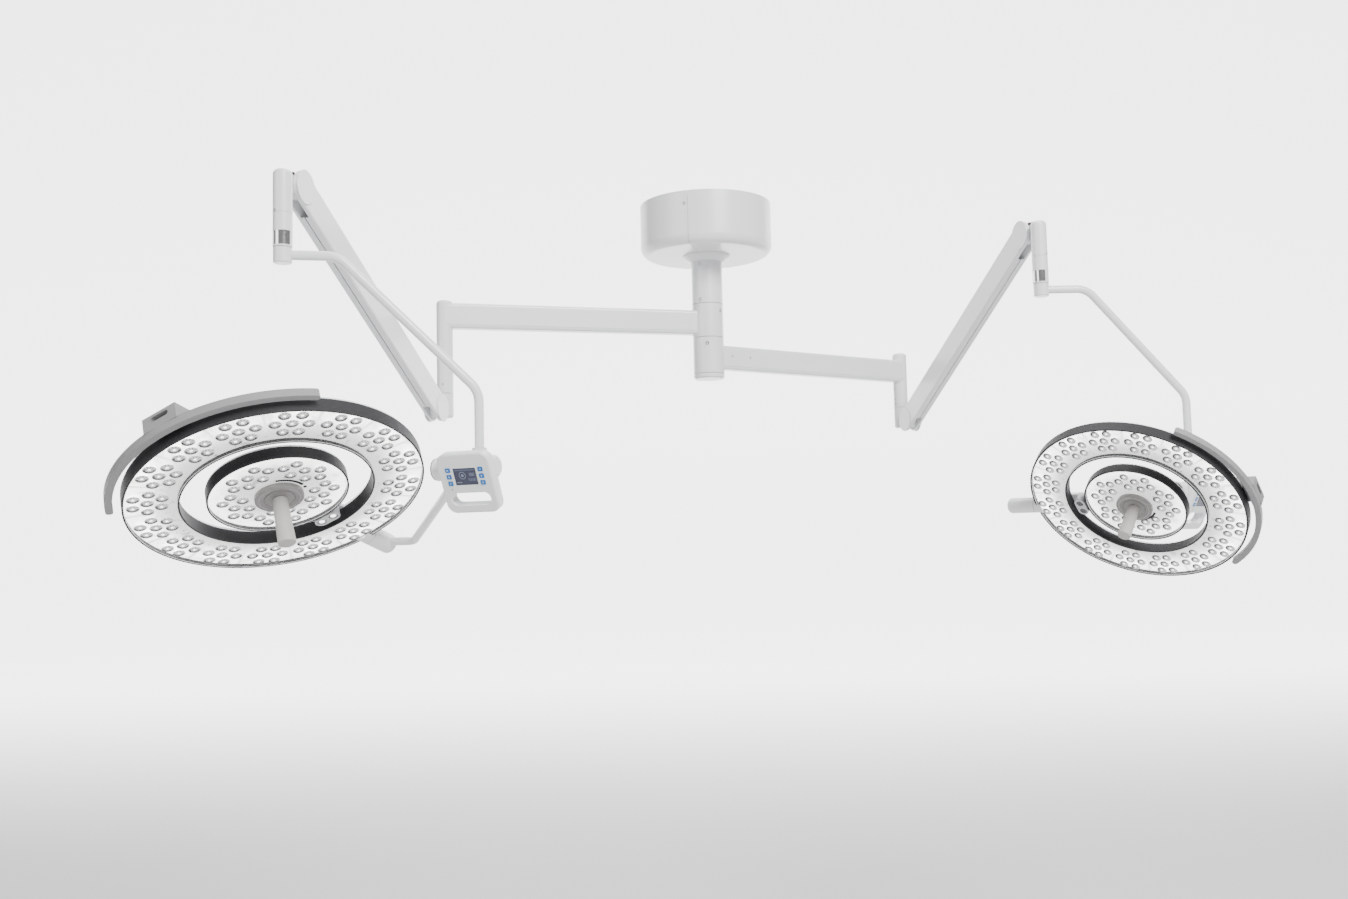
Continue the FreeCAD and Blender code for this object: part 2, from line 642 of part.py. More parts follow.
def side_bands(label, place, side):
    """The dark walls around the ring, the hole and the disc."""
    size = head_sizes(side)
    skin = size["skin"]
    bands = [ring(size["outer"] - skin, size["outer"], 0, size["wall"]),
             ring(size["hole"], size["hole"] + skin, 0, size["wall"]),
             ring(size["disc"] - skin, size["disc"], 0, size["disc_wall"])]
    return shaped(label, Part.makeCompound(bands), place)


def front_windows(label, place, side):
    """The clear windows in front of the lamps: one on the ring and one on the disc."""
    size = head_sizes(side)
    skin, dish = size["skin"], size["dish"]
    panes = [ring(size["hole"] + skin, size["outer"] - skin, 0.6, 3.2),
             ring(dish * 0.9, size["disc"] - skin, 0.6, 3.2)]
    return shaped(label, Part.makeCompound(panes), place)


RING_LENSES = ((0.751, 3.7), (0.751, -3.7), (0.836, 0), (0.836, 6.7), (0.836, -6.7),
               (0.922, 3.1), (0.922, -3.1))
DISC_LENSES = ((0.233, 14), (0.233, -14), (0.303, 0), (0.308, 27), (0.308, -27),
               (0.36, 14.5), (0.36, -14.5))


def lens_cups(outer, layout, count, start, low, high):
    """Short cones in groups of seven, spaced evenly around the axis."""
    cups = []
    for step in range(count):
        for share, degrees in layout:
            angle = math.radians(90 + start + step * 360 / count + degrees)
            middle = Vector(outer * share * math.cos(angle), outer * share * math.sin(angle), low)
            cups.append(Part.makeCone(outer * 0.034, outer * 0.022, high - low, middle))
    return cups


def lamp_boards(label, place, side):
    """The boards behind the windows, each with its groups of seven lenses."""
    size = head_sizes(side)
    outer, skin = size["outer"], size["skin"]
    low, high = 3.6, 11.0
    ring_board = ring(size["hole"] + skin, outer - skin, high, high + 4)
    disc_board = ring(size["dish"] * 0.5, size["disc"] - skin, high, high + 4)
    ring_part = ring_board.multiFuse(lens_cups(outer, RING_LENSES, 16, 0, low, high))
    disc_part = disc_board.multiFuse(lens_cups(outer, DISC_LENSES, 5, 36, low, high))
    return shaped(label, Part.makeCompound([ring_part, disc_part]), place)


def handle_base(label, place, side):
    """The fixed dish around the centre handle, reaching back to the disc's cover."""
    size = head_sizes(side)
    dish, outer = size["dish"], size["outer"]
    bore = outer * 0.03 + num("runningGap")
    solid = swept_ring([(bore, size["disc_wall"]), (dish * 0.5, size["disc_wall"]),
                        (dish * 0.5, 0.4), (dish, 0.4), (dish, -outer * 0.028),
                        (dish * 0.94, -outer * 0.036), (dish * 0.66, -outer * 0.026),
                        (dish * 0.62, -outer * 0.022), (dish * 0.58, -outer * 0.03),
                        (bore, -outer * 0.034)])
    return shaped(label, solid, place)


def centre_handle(label, place, side):
    """The grip that turns to focus the light, wider towards its free end."""
    outer = get(side + "HeadRadius")
    return turned(label, [
        (0.0, outer * 0.05), (outer * 0.03, outer * 0.05), (outer * 0.03, outer * -0.0355),
        (outer * 0.05, outer * -0.0355), (outer * 0.052, outer * -0.06),
        (outer * 0.061, outer * -0.37), (outer * 0.059, outer * -0.381),
        (outer * 0.052, outer * -0.386), (0.0, outer * -0.386)], place)


def grab_handle(label, place, side):
    """The curved grip outside the ring and the box that carries it."""
    size = head_sizes(side)
    outer, wall, cover = size["outer"], size["wall"], size["cover"]
    inner_edge, outer_edge = outer * 1.05, outer * 1.1
    low, high = outer * 0.042, outer * 0.1
    arc = ring(inner_edge, outer_edge, low, high)
    wedge = Part.makeCylinder(outer * 1.2, high - low + 2, Vector(0, 0, low - 1),
                              Vector(0, 0, 1), 104)
    wedge.rotate(Vector(0, 0, 0), Vector(0, 0, 1), -142)
    arc = arc.common(wedge)
    ends = []
    for degrees in (-142, -38):
        angle = math.radians(degrees)
        middle = Vector(math.cos(angle), math.sin(angle), 0) * (outer * 1.075)
        ends.append(Part.makeCylinder(outer * 0.025, high - low, middle + Vector(0, 0, low)))
    grip = fused([arc] + ends)
    half = outer * 0.13
    base = box(Vector(-half, -outer * 1.1, wall + cover), Vector(half, -outer * 0.9,
                                                                 wall + outer * 0.1))
    front = box(Vector(-half, -outer * 1.1, high - outer * 0.01),
                Vector(half, -outer * 1.02, wall + cover))
    slot = capsule(half * 1.1, outer * 0.035, outer * 0.06, 0)
    slot.rotate(Vector(0, 0, 0), Vector(1, 0, 0), 90)
    slot.translate(Vector(0, -outer * 1.06, wall + outer * 0.062))
    solid = fused([grip, base, front]).cut(slot)
    return shaped(label, solid, place)


def camera_pod(label, place, side):
    """The small pod beside the disc, with a round eye at each end."""
    size = head_sizes(side)
    outer, disc = size["outer"], size["disc"]
    middle = disc + outer * 0.06
    pod = capsule(outer * 0.2, outer * 0.1, size["wall"], 0)
    pod.translate(Vector(0, middle, 0))
    foot = box(Vector(-outer * 0.05, disc, outer * 0.02),
               Vector(outer * 0.05, middle, size["wall"]))
    solid = pod.fuse(foot).cut(Part.makeCylinder(disc, outer, Vector(0, 0, -1)))
    for side_sign in (-1, 1):
        eye = Part.makeCylinder(outer * 0.034, 5, Vector(side_sign * outer * 0.05, middle, 0))
        solid = solid.cut(eye)
    return shaped(label, solid.removeSplitter(), place)


# ---------------------------------------------------------------- assembly

def lamp(side, hub_top, hub_bottom):
    """Builds one lamp from its hub on the column to its handle, in its resting pose."""
    extension = spin((0, 0, 1), num(side + "ExtensionTurn"))
    hub(side + "_hub", hub_top, hub_bottom, extension)
    beam(side + "_beam", num(side + "BeamMiddle"), extension)
    end_tube(side + "_end_tube", get(side + "EndTop"), extension)

    arm_turn = num(side + "ArmTurn") - num(side + "ExtensionTurn")
    swivel = extension.multiply(shift(num("beamReach"), 0, -num("endTubeBottom")))
    swivel = swivel.multiply(spin((0, 0, 1), arm_turn))
    knuckle(side + "_knuckle", swivel)

    rise = num(side + "ArmRise")
    pivot = swivel.multiply(shift(num("pivotOut"), 0, -num("pivotDrop")))
    arm = pivot.multiply(spin((0, 1, 0), -rise))
    spring_arm(side + "_spring_arm", arm)
    spring_strut(side + "_spring_strut", arm)
    pivot_covers(side + "_pivot_covers", arm)

    level = arm.multiply(shift(num("springReach"), 0, 0)).multiply(spin((0, 1, 0), rise))
    window = num(side + "WindowTurn")
    head_joint(side + "_head_joint", level, window)
    lock_segment(side + "_lock_segment", level, window)

    yoke_turn = num(side + "YokeTurn") - num(side + "ArmTurn")
    yoke_frame = level.multiply(shift(num("headJointOut"), 0, 0))
    yoke_frame = yoke_frame.multiply(spin((0, 0, 1), yoke_turn))
    first, reach = num(side + "YokeFirst"), num(side + "YokeReach")
    hang = num(side + "YokeHang")
    yoke(side + "_yoke", yoke_frame, first, reach, hang)

    block_turn = num(side + "BlockTurn") - num(side + "YokeTurn")
    block_low = -num("yokeDrop") - num("yokeFall") - hang
    block = yoke_frame.multiply(shift(reach, 0, block_low))
    block = block.multiply(spin((0, 0, 1), block_turn))
    joint_block(side + "_joint_block", block)
    face = panel_place(block)
    panel_housing(side + "_panel_housing", face)
    panel_display(side + "_panel_display", face)
    panel_keys(side + "_panel_keys", face)

    fork = block.multiply(spin((1, 0, 0), num(side + "ForkPitch")))
    fork_barrel(side + "_fork_barrel", fork)
    fork_tube(side + "_fork_tube", fork, side)

    across, along, below = fork_frame(side)
    size = head_sizes(side)
    head = fork.multiply(shift(-across, -along, -below))
    head = head.multiply(spin((0, 1, 0), num(side + "HeadRoll")))
    head = head.multiply(shift(0, 0, -size["wall"] * 0.55))
    head_shell(side + "_head_shell", head, side)
    side_bands(side + "_side_bands", head, side)
    front_windows(side + "_front_windows", head, side)
    lamp_boards(side + "_lamp_boards", head, side)
    handle_base(side + "_handle_base", head, side)
    centre_handle(side + "_centre_handle", head, side)
    grab_handle(side + "_grab_handle", head, side)
    camera_pod(side + "_camera_pod", head, side)
    for name, frame in (("swivel", swivel), ("pivot", pivot), ("level", level),
                        ("yoke", yoke_frame), ("block", block), ("fork", fork),
                        ("head", head)):
        axes = [frame.Rotation.multVec(Vector(*axis)) for axis in
                ((1, 0, 0), (0, 1, 0), (0, 0, 1))]
        print(side, name, [round(number, 4) for number in frame.Base],
              [[round(number, 6) for number in axis] for axis in axes])


lamp("left", get("downTubeBottom") + get("jointGap"), get("upperHubBottom"))
lamp("right", get("upperHubBottom") + get("jointGap"), get("lowerHubBottom"))

# ---------------------------------------------------------------- checks and export

doc.recompute()
os.makedirs("parts", exist_ok=True)
written = 0
for item in doc.Objects:
    if "Invalid" in item.State or "Error" in item.State:
        raise RuntimeError("%s is not sound: %s" % (item.Label, item.State))
    if item.TypeId not in ("PartDesign::Body", "Part::Feature"):
        continue
    shape = item.Shape
    if shape.isNull() or not shape.isValid():
        raise RuntimeError("%s has no valid shape" % item.Label)
    shape.exportStep("parts/%s.step" % item.Label)
    written += 1
    print(item.Label, len(shape.Solids), round(shape.Volume / 1000, 1))
print("written", written)
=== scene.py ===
"""Looks of a ceiling-mounted surgical light with two ring-shaped lamp heads.

Laid out as an add-on: sizes and colours in property groups, one operator for each piece or
group of like pieces, one for the stage, and a panel that lists them.
"""

import json
import math

import bmesh
import bpy
from bpy.props import FloatProperty, FloatVectorProperty, IntProperty, PointerProperty
from mathutils import Matrix, Vector


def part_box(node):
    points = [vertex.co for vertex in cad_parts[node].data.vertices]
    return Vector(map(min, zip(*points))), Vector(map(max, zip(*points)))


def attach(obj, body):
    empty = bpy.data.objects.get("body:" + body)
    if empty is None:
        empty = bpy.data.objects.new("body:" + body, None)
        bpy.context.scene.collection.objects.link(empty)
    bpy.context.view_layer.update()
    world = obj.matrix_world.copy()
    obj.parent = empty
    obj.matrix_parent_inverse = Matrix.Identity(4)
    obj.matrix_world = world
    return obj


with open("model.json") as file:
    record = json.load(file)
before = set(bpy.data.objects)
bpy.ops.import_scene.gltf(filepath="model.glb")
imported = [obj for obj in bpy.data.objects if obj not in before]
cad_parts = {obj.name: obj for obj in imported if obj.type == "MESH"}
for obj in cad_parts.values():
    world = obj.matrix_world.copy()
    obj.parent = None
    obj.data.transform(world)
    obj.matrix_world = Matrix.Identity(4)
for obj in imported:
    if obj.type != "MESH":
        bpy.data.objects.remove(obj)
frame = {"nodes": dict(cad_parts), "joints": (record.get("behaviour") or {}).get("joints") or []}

bl_info = {
    "name": "Surgical light looks",
    "version": (1, 0, 0),
    "blender": (4, 5, 0),
    "location": "View3D > Sidebar > Surgical light",
    "description": "Builds the looks of a twin surgical light around its fixed parts",
    "category": "Object",
}

SIDES = ("left", "right")
PANEL_TILT = 24
PANEL_DROP = 0.023
PANEL_ACROSS = -0.015
PANEL_OUT = 0.042
LAMP_GLOW = 4.5
RING_START = 0.6
LENS_FACE = 0.00355
LENS_DEPTH = 0.0003
LENS_PROFILE = ((0.0, 0.75), (0.16, 0.7), (0.30, 0.2), (0.42, 0.34), (0.62, 0.30),
                (0.82, 0.14), (0.96, 0.05), (1.0, 0.6))
LENS_STEPS = 20
EYE_PROFILE = ((0.0, 0.0004), (0.5, 0.0008), (0.9, 0.0022), (1.0, 0.0028))
EYE_LIFT = 0.0004
EYE_STEPS = 28
COLUMN_RADIUS = 0.048
SPINDLE_RADIUS = 0.0455
CANOPY_RADIUS = 0.205
END_TUBE_RADIUS = 0.024
HEAD_JOINT_RADIUS = 0.0215
BEAM_HALF_WIDTH = 0.0230
FLOOR_LEVEL = -2.3
CAMERA_PLACE = (-0.115492, -3.901275, -1.057923)
CAMERA_PITCH = 0.075
CAMERA_ROLL = -0.023
JOINTS = {joint["name"]: joint for joint in frame["joints"]}


# ---------------------------------------------------------------- settings

class LightSizes(bpy.types.PropertyGroup):
    """Sizes that the added pieces share."""

    ring_modules: IntProperty(
        name="Ring modules", description="Groups of seven lenses round the ring", default=16)
    disc_modules: IntProperty(
        name="Disc modules", description="Groups of seven lenses round the disc", default=5)
    lens_share: FloatProperty(
        name="Lens radius", description="Lens radius as a share of the head's radius",
        default=0.043)
    screw_radius: FloatProperty(
        name="Screw radius", description="Radius of the socket screws on the column",
        default=0.0062, unit="LENGTH")
    left_radius: FloatProperty(
        name="Left head radius", description="Outer radius of the left lamp head",
        default=0.350, unit="LENGTH")
    right_radius: FloatProperty(
        name="Right head radius", description="Outer radius of the right lamp head",
        default=0.265, unit="LENGTH")


class LightColours(bpy.types.PropertyGroup):
    """Colours that the materials share."""

    paint: FloatVectorProperty(
        name="Paint", description="Off-white paint of the arms and covers", subtype="COLOR",
        default=(0.74, 0.75, 0.76))
    # Partly painted shade: this is the side bands' own dark tone, set darker still so the inner
    # walls of the ring stay shaded.
    walls: FloatVectorProperty(
        name="Walls", description="Dark side walls of the ring and disc", subtype="COLOR",
        default=(0.030, 0.030, 0.032))
    keys: FloatVectorProperty(
        name="Keys", description="Blue keys of the control panel", subtype="COLOR",
        default=(0.012, 0.13, 0.40))
    screen: FloatVectorProperty(
        name="Screen", description="Unlit part of the panel's screen", subtype="COLOR",
        default=(0.012, 0.016, 0.045))
    # Painted shade: the grab handles are white like the cover, and this grey stands in for the
    # shade on their downward faces.
    grip: FloatVectorProperty(
        name="Grip", description="Grey of the outer grab handles", subtype="COLOR",
        default=(0.25, 0.25, 0.255))


def sizes():
    return bpy.context.scene.light_sizes


def colours():
    return bpy.context.scene.light_colours


# ---------------------------------------------------------------- frames of the moving parts

def framed(origin, across, along, up):
    """A matrix from a frame's origin and its three directions."""
    matrix = Matrix((across, along, up)).transposed().to_4x4()
    matrix.translation = origin
    return matrix


def joint_place(name):
    joint = JOINTS[name]
    return Vector(joint["pos_m"]), Vector(joint["axis"]).normalized()


def head_frame(side):
    """Origin in the lamp face's middle, Y towards the hub and Z out of the back."""
    origin, up = joint_place(side + "_handle_turn")
    along = joint_place(side + "_head_roll")[1]
    return framed(origin, along.cross(up), along, up)


def level_axis(side):
    return joint_place(side + "_arm_lift")[1] * -1


def arm_frame(side):
    """Origin at the spring arm's lower pivot, X up along the arm."""
    low = joint_place(side + "_arm_lift")[0]
    high = joint_place(side + "_arm_levelling")[0]
    across = (high - low).normalized()
    along = level_axis(side)
    return framed(low, across, along, across.cross(along))


def extension_frame(side):
    """Origin on the column's axis at the ceiling, X along the extension beam."""
    across = joint_place(side + "_arm_swivel")[0]
    across.z = 0
    across.normalize()
    up = Vector((0, 0, 1))
    return framed(Vector((0, 0, 0)), across, up.cross(across), up)


def block_frame(side):
    """Origin on the joint block's axis, X along the barrel."""
    origin, across = joint_place(side + "_fork_tilt")
    up = Vector((0, 0, 1))
    return framed(origin, across, up.cross(across), up)


def fork_frame(side):
    origin, across = joint_place(side + "_fork_tilt")
    along = joint_place(side + "_head_roll")[1]
    return framed(origin, across, along, across.cross(along))


def panel_frame(side):
    """Origin in the middle of the panel's face, Y up the face and Z out of it."""
    tilt = math.radians(PANEL_TILT)
    turn = Matrix.Rotation(math.pi / 2 + tilt, 4, "X")
    move = Vector((PANEL_ACROSS, PANEL_DROP * math.sin(tilt), -PANEL_DROP * math.cos(tilt)))
    out = Matrix.Translation((0, 0, PANEL_OUT))
    return block_frame(side) @ Matrix.Translation(move) @ turn @ out


def head_radius(side):
    return sizes().left_radius if side == "left" else sizes().right_radius


# ---------------------------------------------------------------- meshes

class Shape:
    """A mesh being built, in a local frame, that ends as one finished object."""

    def __init__(self, matrix=None):
        self.mesh = bmesh.new()
        self.matrix = matrix or Matrix.Identity(4)
        self.material = 0

    def _place(self, verts, local):
        bmesh.ops.transform(self.mesh, matrix=self.matrix @ local, verts=verts)

    def _mark(self, faces):
        for face in faces:
            face.material_index = self.material

    def lathe(self, profile, local=None, steps=32):
        """Turns (radius, height) points about Z; points on the axis become poles."""
        local = local or Matrix.Identity(4)
        before = set(self.mesh.faces)
        verts = [self.mesh.verts.new((radius, 0, height)) for radius, height in profile]
        edges = [self.mesh.edges.new(pair) for pair in zip(verts, verts[1:])]
        bmesh.ops.spin(
            self.mesh, geom=verts + edges, cent=(0, 0, 0), axis=(0, 0, 1), dvec=(0, 0, 0),
            angle=math.tau, steps=steps, use_merge=True, use_duplicate=False)
        faces = [face for face in self.mesh.faces if face not in before]
        found = list({vert for face in faces for vert in face.verts})
        bmesh.ops.remove_doubles(self.mesh, verts=found, dist=1e-7)
        faces = [face for face in self.mesh.faces if face not in before]
        found = list({vert for face in faces for vert in face.verts})
        self._mark(faces)
        self._place(found, local)
        return self

    def block(self, low, high, local=None, bevel=0.0):
        """A box between two corners, its edges rounded."""
        local = local or Matrix.Identity(4)
        before = set(self.mesh.faces)
        low, high = Vector(low), Vector(high)
        middle, span = (low + high) / 2, high - low
        scale = Matrix.Diagonal((span.x, span.y, span.z, 1))
        made = bmesh.ops.create_cube(
            self.mesh, size=1, matrix=Matrix.Translation(middle) @ scale)
        if bevel:
            edges = list({edge for vert in made["verts"] for edge in vert.link_edges})
            bmesh.ops.bevel(self.mesh, geom=edges, offset=bevel, segments=2,
                            profile=0.5, affect="EDGES", material=-1)
        faces = [face for face in self.mesh.faces if face not in before]
        self._mark(faces)
        self._place(list({vert for face in faces for vert in face.verts}), local)
        return self

    def prism(self, outline, low, high, local=None):
        """A flat outline of (x, y) corners raised between two heights."""
        local = local or Matrix.Identity(4)
        verts = [self.mesh.verts.new((x, y, low)) for x, y in outline]
        base = self.mesh.faces.new(verts)
        raised = bmesh.ops.extrude_face_region(self.mesh, geom=[base])["geom"]
        top = [item for item in raised if isinstance(item, bmesh.types.BMVert)]
        bmesh.ops.translate(self.mesh, vec=(0, 0, high - low), verts=top)
        found = verts + top
        faces = list({face for vert in found for face in vert.link_faces})
        self._mark(faces)
        self._place(found, local)
        return self

    def finish(self, name, body, materials, smooth=35):
        """Turns the mesh into an object that rides on a body."""
        mesh = self.mesh
        bmesh.ops.recalc_face_normals(mesh, faces=mesh.faces[:])
        data = bpy.data.meshes.new(name)
        mesh.to_mesh(data)
        mesh.free()
        for material in materials:
            data.materials.append(material)
        thing = bpy.data.objects.new(name, data)
        bpy.context.scene.collection.objects.link(thing)
        soften(thing, smooth)
        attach(thing, body)
        return thing


def soften(thing, degrees):
    """Shades a mesh smooth except at edges sharper than this."""
    thing.data.shade_smooth()
    thing.data.set_sharp_from_angle(angle=math.radians(degrees))


def turned(degrees, axis="Z"):
    return Matrix.Rotation(math.radians(degrees), 4, axis)


def moved(x, y, z):
    return Matrix.Translation((x, y, z))


def facing(point, normal):
    """A place with its Z along a normal."""
    normal = Vector(normal).normalized()
    return Matrix.Translation(point) @ normal.to_track_quat("Z", "Y").to_matrix().to_4x4()


# ---------------------------------------------------------------- materials

class Wire:
    """A value in a material's node tree that can be added, multiplied and compared."""

    def __init__(self, paper, socket):
        self.paper = paper
        self.socket = socket

    def _maths(self, operation, other):
        return self.paper.maths(operation, self, other)

    def __add__(self, other):
        return self._maths("ADD", other)

    def __sub__(self, other):
        return self._maths("SUBTRACT", other)

    def __rsub__(self, other):
        return self.paper.maths("SUBTRACT", other, self)

    def __mul__(self, other):
        return self._maths("MULTIPLY", other)

    def __truediv__(self, other):
        return self._maths("DIVIDE", other)

    def __lt__(self, other):
        return self._maths("LESS_THAN", other)

    def __gt__(self, other):
        return self._maths("GREATER_THAN", other)

    def within(self, low, high):
        """1 between two values, 0 outside."""
        return (self > low) * (self < high)

    def smooth(self, low, high):
        """0 at low rising smoothly to 1 at high."""
        node = self.paper.node("ShaderNodeMapRange", {"interpolation_type": "SMOOTHSTEP"},
                               {"Value": self, "From Min": low, "From Max": high,
                                "To Min": 0.0, "To Max": 1.0})
        return Wire(self.paper, node.outputs["Result"])


class Paper:
    """A material being drawn."""

    def __init__(self, name, **constants):
        self.material = bpy.data.materials.new(name)
        self.material.use_nodes = True
        self.tree = self.material.node_tree
        self.shader = self.tree.nodes["Principled BSDF"]
        for socket, value in constants.items():
            self.shader.inputs[socket.replace("_", " ")].default_value = value

    def node(self, kind, settings=None, inputs=None):
        made = self.tree.nodes.new(kind)
        for name, value in (settings or {}).items():
            setattr(made, name, value)
        for name, value in (inputs or {}).items():
            self.connect(made.inputs[name], value)
        return made

    def connect(self, socket, value):
        if isinstance(value, Wire):
            self.tree.links.new(value.socket, socket)
        elif value is not None:
            socket.default_value = value

    def maths(self, operation, first, second=None):
        made = self.node("ShaderNodeMath", {"operation": operation})
        for index, value in enumerate((first, second)):
            if value is not None:
                self.connect(made.inputs[index], value)
        return Wire(self, made.outputs[0])

    def position(self):
        made = self.node("ShaderNodeTexCoord")
        return Wire(self, made.outputs["Object"])

    def uv(self):
        made = self.node("ShaderNodeTexCoord")
        return Wire(self, made.outputs["UV"])

    def vector(self, operation, first, second):
        made = self.node("ShaderNodeVectorMath", {"operation": operation})
        self.connect(made.inputs[0], first)
        self.connect(made.inputs[1], second)
        return Wire(self, made.outputs["Value" if operation == "DOT_PRODUCT" else "Vector"])

    def along(self, point, origin, direction):
        """How far a point lies from an origin along a direction."""
        offset = self.vector("SUBTRACT", point, tuple(origin))
        return self.vector("DOT_PRODUCT", offset, tuple(direction))

    def noise(self, point, scale, detail=3.0, roughness=0.5):
        made = self.node("ShaderNodeTexNoise", {},
                         {"Vector": point, "Scale": scale, "Detail": detail,
                          "Roughness": roughness})
        return Wire(self, made.outputs[0])

    def mix(self, share, first, second):
        made = self.node("ShaderNodeMix", {"data_type": "RGBA"})
        self.connect(made.inputs[0], share)
        self.connect(made.inputs[6], first if isinstance(first, Wire) else (*first, 1))
        self.connect(made.inputs[7], second if isinstance(second, Wire) else (*second, 1))
        return Wire(self, made.outputs[2])

    def put(self, name, value):
        self.connect(self.shader.inputs[name], value)

    def bump(self, height, strength, distance):
        made = self.node("ShaderNodeBump", {}, {"Height": height, "Strength": strength,
                                                "Distance": distance})
        self.tree.links.new(made.outputs["Normal"], self.shader.inputs["Normal"])


MATERIALS = {}


def material(name):
    """The material of that name, drawn the first time it is asked for."""
    if name not in MATERIALS:
        MATERIALS[name] = DRAWINGS[name]()
    return MATERIALS[name]


def shade(colour, share):
    return tuple(min(1, channel * share) for channel in colour)


def draw_coating(name, colour, roughness, spread, bump=0.05, **constants):
    """Even paint or plastic with faint cloudiness and a fine skin."""
    paper = Paper(name, **constants)
    point = paper.position()
    cloud = paper.noise(point, 6.0, 4.0)
    fine = paper.noise(point, 900.0, 2.0)
    paper.put("Base Color", paper.mix(cloud, shade(colour, 0.97), shade(colour, 1.03)))
    paper.put("Roughness", cloud * spread + (roughness - spread / 2))
    paper.bump(fine, bump, 0.0002)
    return paper.material


def draw_paint():
    return draw_coating("paint", colours().paint, 0.3, 0.06, 0.03, Coat_Weight=0.35,
                        Coat_Roughness=0.08)


def draw_cover():
    return draw_coating("cover", shade(colours().paint, 0.98), 0.34, 0.06, 0.03,
                        Coat_Weight=0.2, Coat_Roughness=0.12)


# Partly painted shade: the walls are made darker than their own tone so the ring's inner walls
# stay shaded.
def draw_walls():
    return draw_coating("walls", colours().walls, 0.5, 0.08, 0.06, Specular_IOR_Level=0.16)


# Painted shade: grey standing in for the shade on the white grab handles' downward faces.
def draw_grip_painted_shade():
    return draw_coating("grip", colours().grip, 0.46, 0.08, 0.12, Specular_IOR_Level=0.3)


def draw_base():
    return draw_coating("dish", (0.21, 0.2, 0.195), 0.36, 0.08, 0.08)


def draw_handle():
    return draw_coating("handle", (0.40, 0.385, 0.365), 0.45, 0.08, 0.12)


def draw_pod():
    return draw_coating("pod", (0.48, 0.49, 0.50), 0.32, 0.06, 0.05)


def draw_metal(name, colour, roughness, stretch):
    """Metal with fine turned or drawn marks."""
    paper = Paper(name, Metallic=1.0)
    point = paper.vector("MULTIPLY", paper.position(), stretch)
    marks = paper.noise(point, 60.0, 4.0)
    paper.put("Base Color", paper.mix(marks, shade(colour, 0.9), shade(colour, 1.06)))
    paper.put("Roughness", marks * 0.16 + roughness)
    return paper.material


def draw_chrome():
    return draw_metal("chrome", (0.78, 0.78, 0.79), 0.03, (1, 1, 14))


def draw_steel():
    return draw_metal("steel", (0.42, 0.42, 0.43), 0.24, (1, 1, 30))


def draw_socket():
    return draw_coating("socket", (0.03, 0.026, 0.024), 0.5, 0.1, 0.1,
                        Specular_IOR_Level=0.1)


# Dark brown used as painted shade in the open arm ends and as the colour of the dark barrel
# rings.
def draw_end_shade_and_ring():
    return draw_coating("end_shade_and_ring", (0.05, 0.03, 0.024), 0.45, 0.3, 0.5, Specular_IOR_Level=0.15)


def draw_keys():
    return draw_coating("keys", colours().keys, 0.35, 0.08, 0.05)


def draw_marks():
    paper = Paper("marks", Roughness=0.5)
    point = paper.position()
    paper.put("Base Color", paper.mix(paper.noise(point, 80.0), (0.78, 0.82, 0.86),
                                      (0.9, 0.92, 0.94)))
    return paper.material


def draw_dot():
    paper = Paper("dot", Roughness=0.4)
    point = paper.position()
    paper.put("Base Color", paper.mix(paper.noise(point, 200.0), (0.25, 0.30, 0.20),
                                      (0.30, 0.36, 0.24)))
    return paper.material


def draw_window():
    """Clear cover: see-through, with a glossy skin."""
    paper = Paper("window", Roughness=0.05, IOR=1.45, Specular_IOR_Level=0.3)
    point = paper.position()
    cloud = paper.noise(point, 14.0, 3.0)
    paper.put("Base Color", paper.mix(cloud, (0.86, 0.88, 0.89), (0.93, 0.94, 0.95)))
    paper.put("Alpha", cloud * 0.03 + 0.015)
    return paper.material


def draw_lens():
    """Clear lens: a bright middle, a dark crescent of painted shade on one side and grey facets,
    drawn on its own UV.
    """
    paper = Paper("lens", Roughness=0.3, Specular_IOR_Level=0.2)
    flat = paper.vector("SUBTRACT", paper.uv(), (0.5, 0.5, 0.0))
    split = paper.node("ShaderNodeSeparateXYZ", {}, {"Vector": flat})
    across, up = Wire(paper, split.outputs[0]), Wire(paper, split.outputs[1])
    reach = paper.maths("SQRT", across * across + up * up) * 2.0
    angle = paper.maths("ARCTAN2", up, across)
    facets = paper.maths("SINE", angle * 9.0) * 0.5 + 0.5
    # Painted shade: each lens darkens in a crescent towards one fixed side, its direction
    # wobbled by noise; it darkens both the glow and the base colour.
    shade_wobble = paper.noise(paper.position(), 26.0, 2.0)
    shade_side = (across * -0.8 + up * 0.6) * 2.0 + (shade_wobble - 0.5) * 1.6
    edge = reach.smooth(0.42, 0.62) * (1.0 - reach.smooth(0.93, 1.0))
    crescent = edge * shade_side.smooth(-0.5, 0.2)
    band = reach.within(0.26, 0.86) * (facets * 0.5 + 0.34)
    centre = 1.0 - reach.smooth(0.14, 0.30)
    rim = reach.within(0.86, 1.0) * 0.62
    dark = paper.maths("MAXIMUM", crescent * 0.985, paper.maths("MAXIMUM", band, rim))
    tone = paper.mix(dark, (0.34, 0.34, 0.335), (0.004, 0.004, 0.005))
    tone = paper.mix(centre, tone, (0.9, 0.9, 0.9))
    paper.put("Base Color", paper.mix(dark, (0.60, 0.61, 0.61), (0.03, 0.03, 0.032)))
    paper.put("Emission Color", tone)
    paper.shader.inputs["Emission Strength"].default_value = LAMP_GLOW
    return paper.material


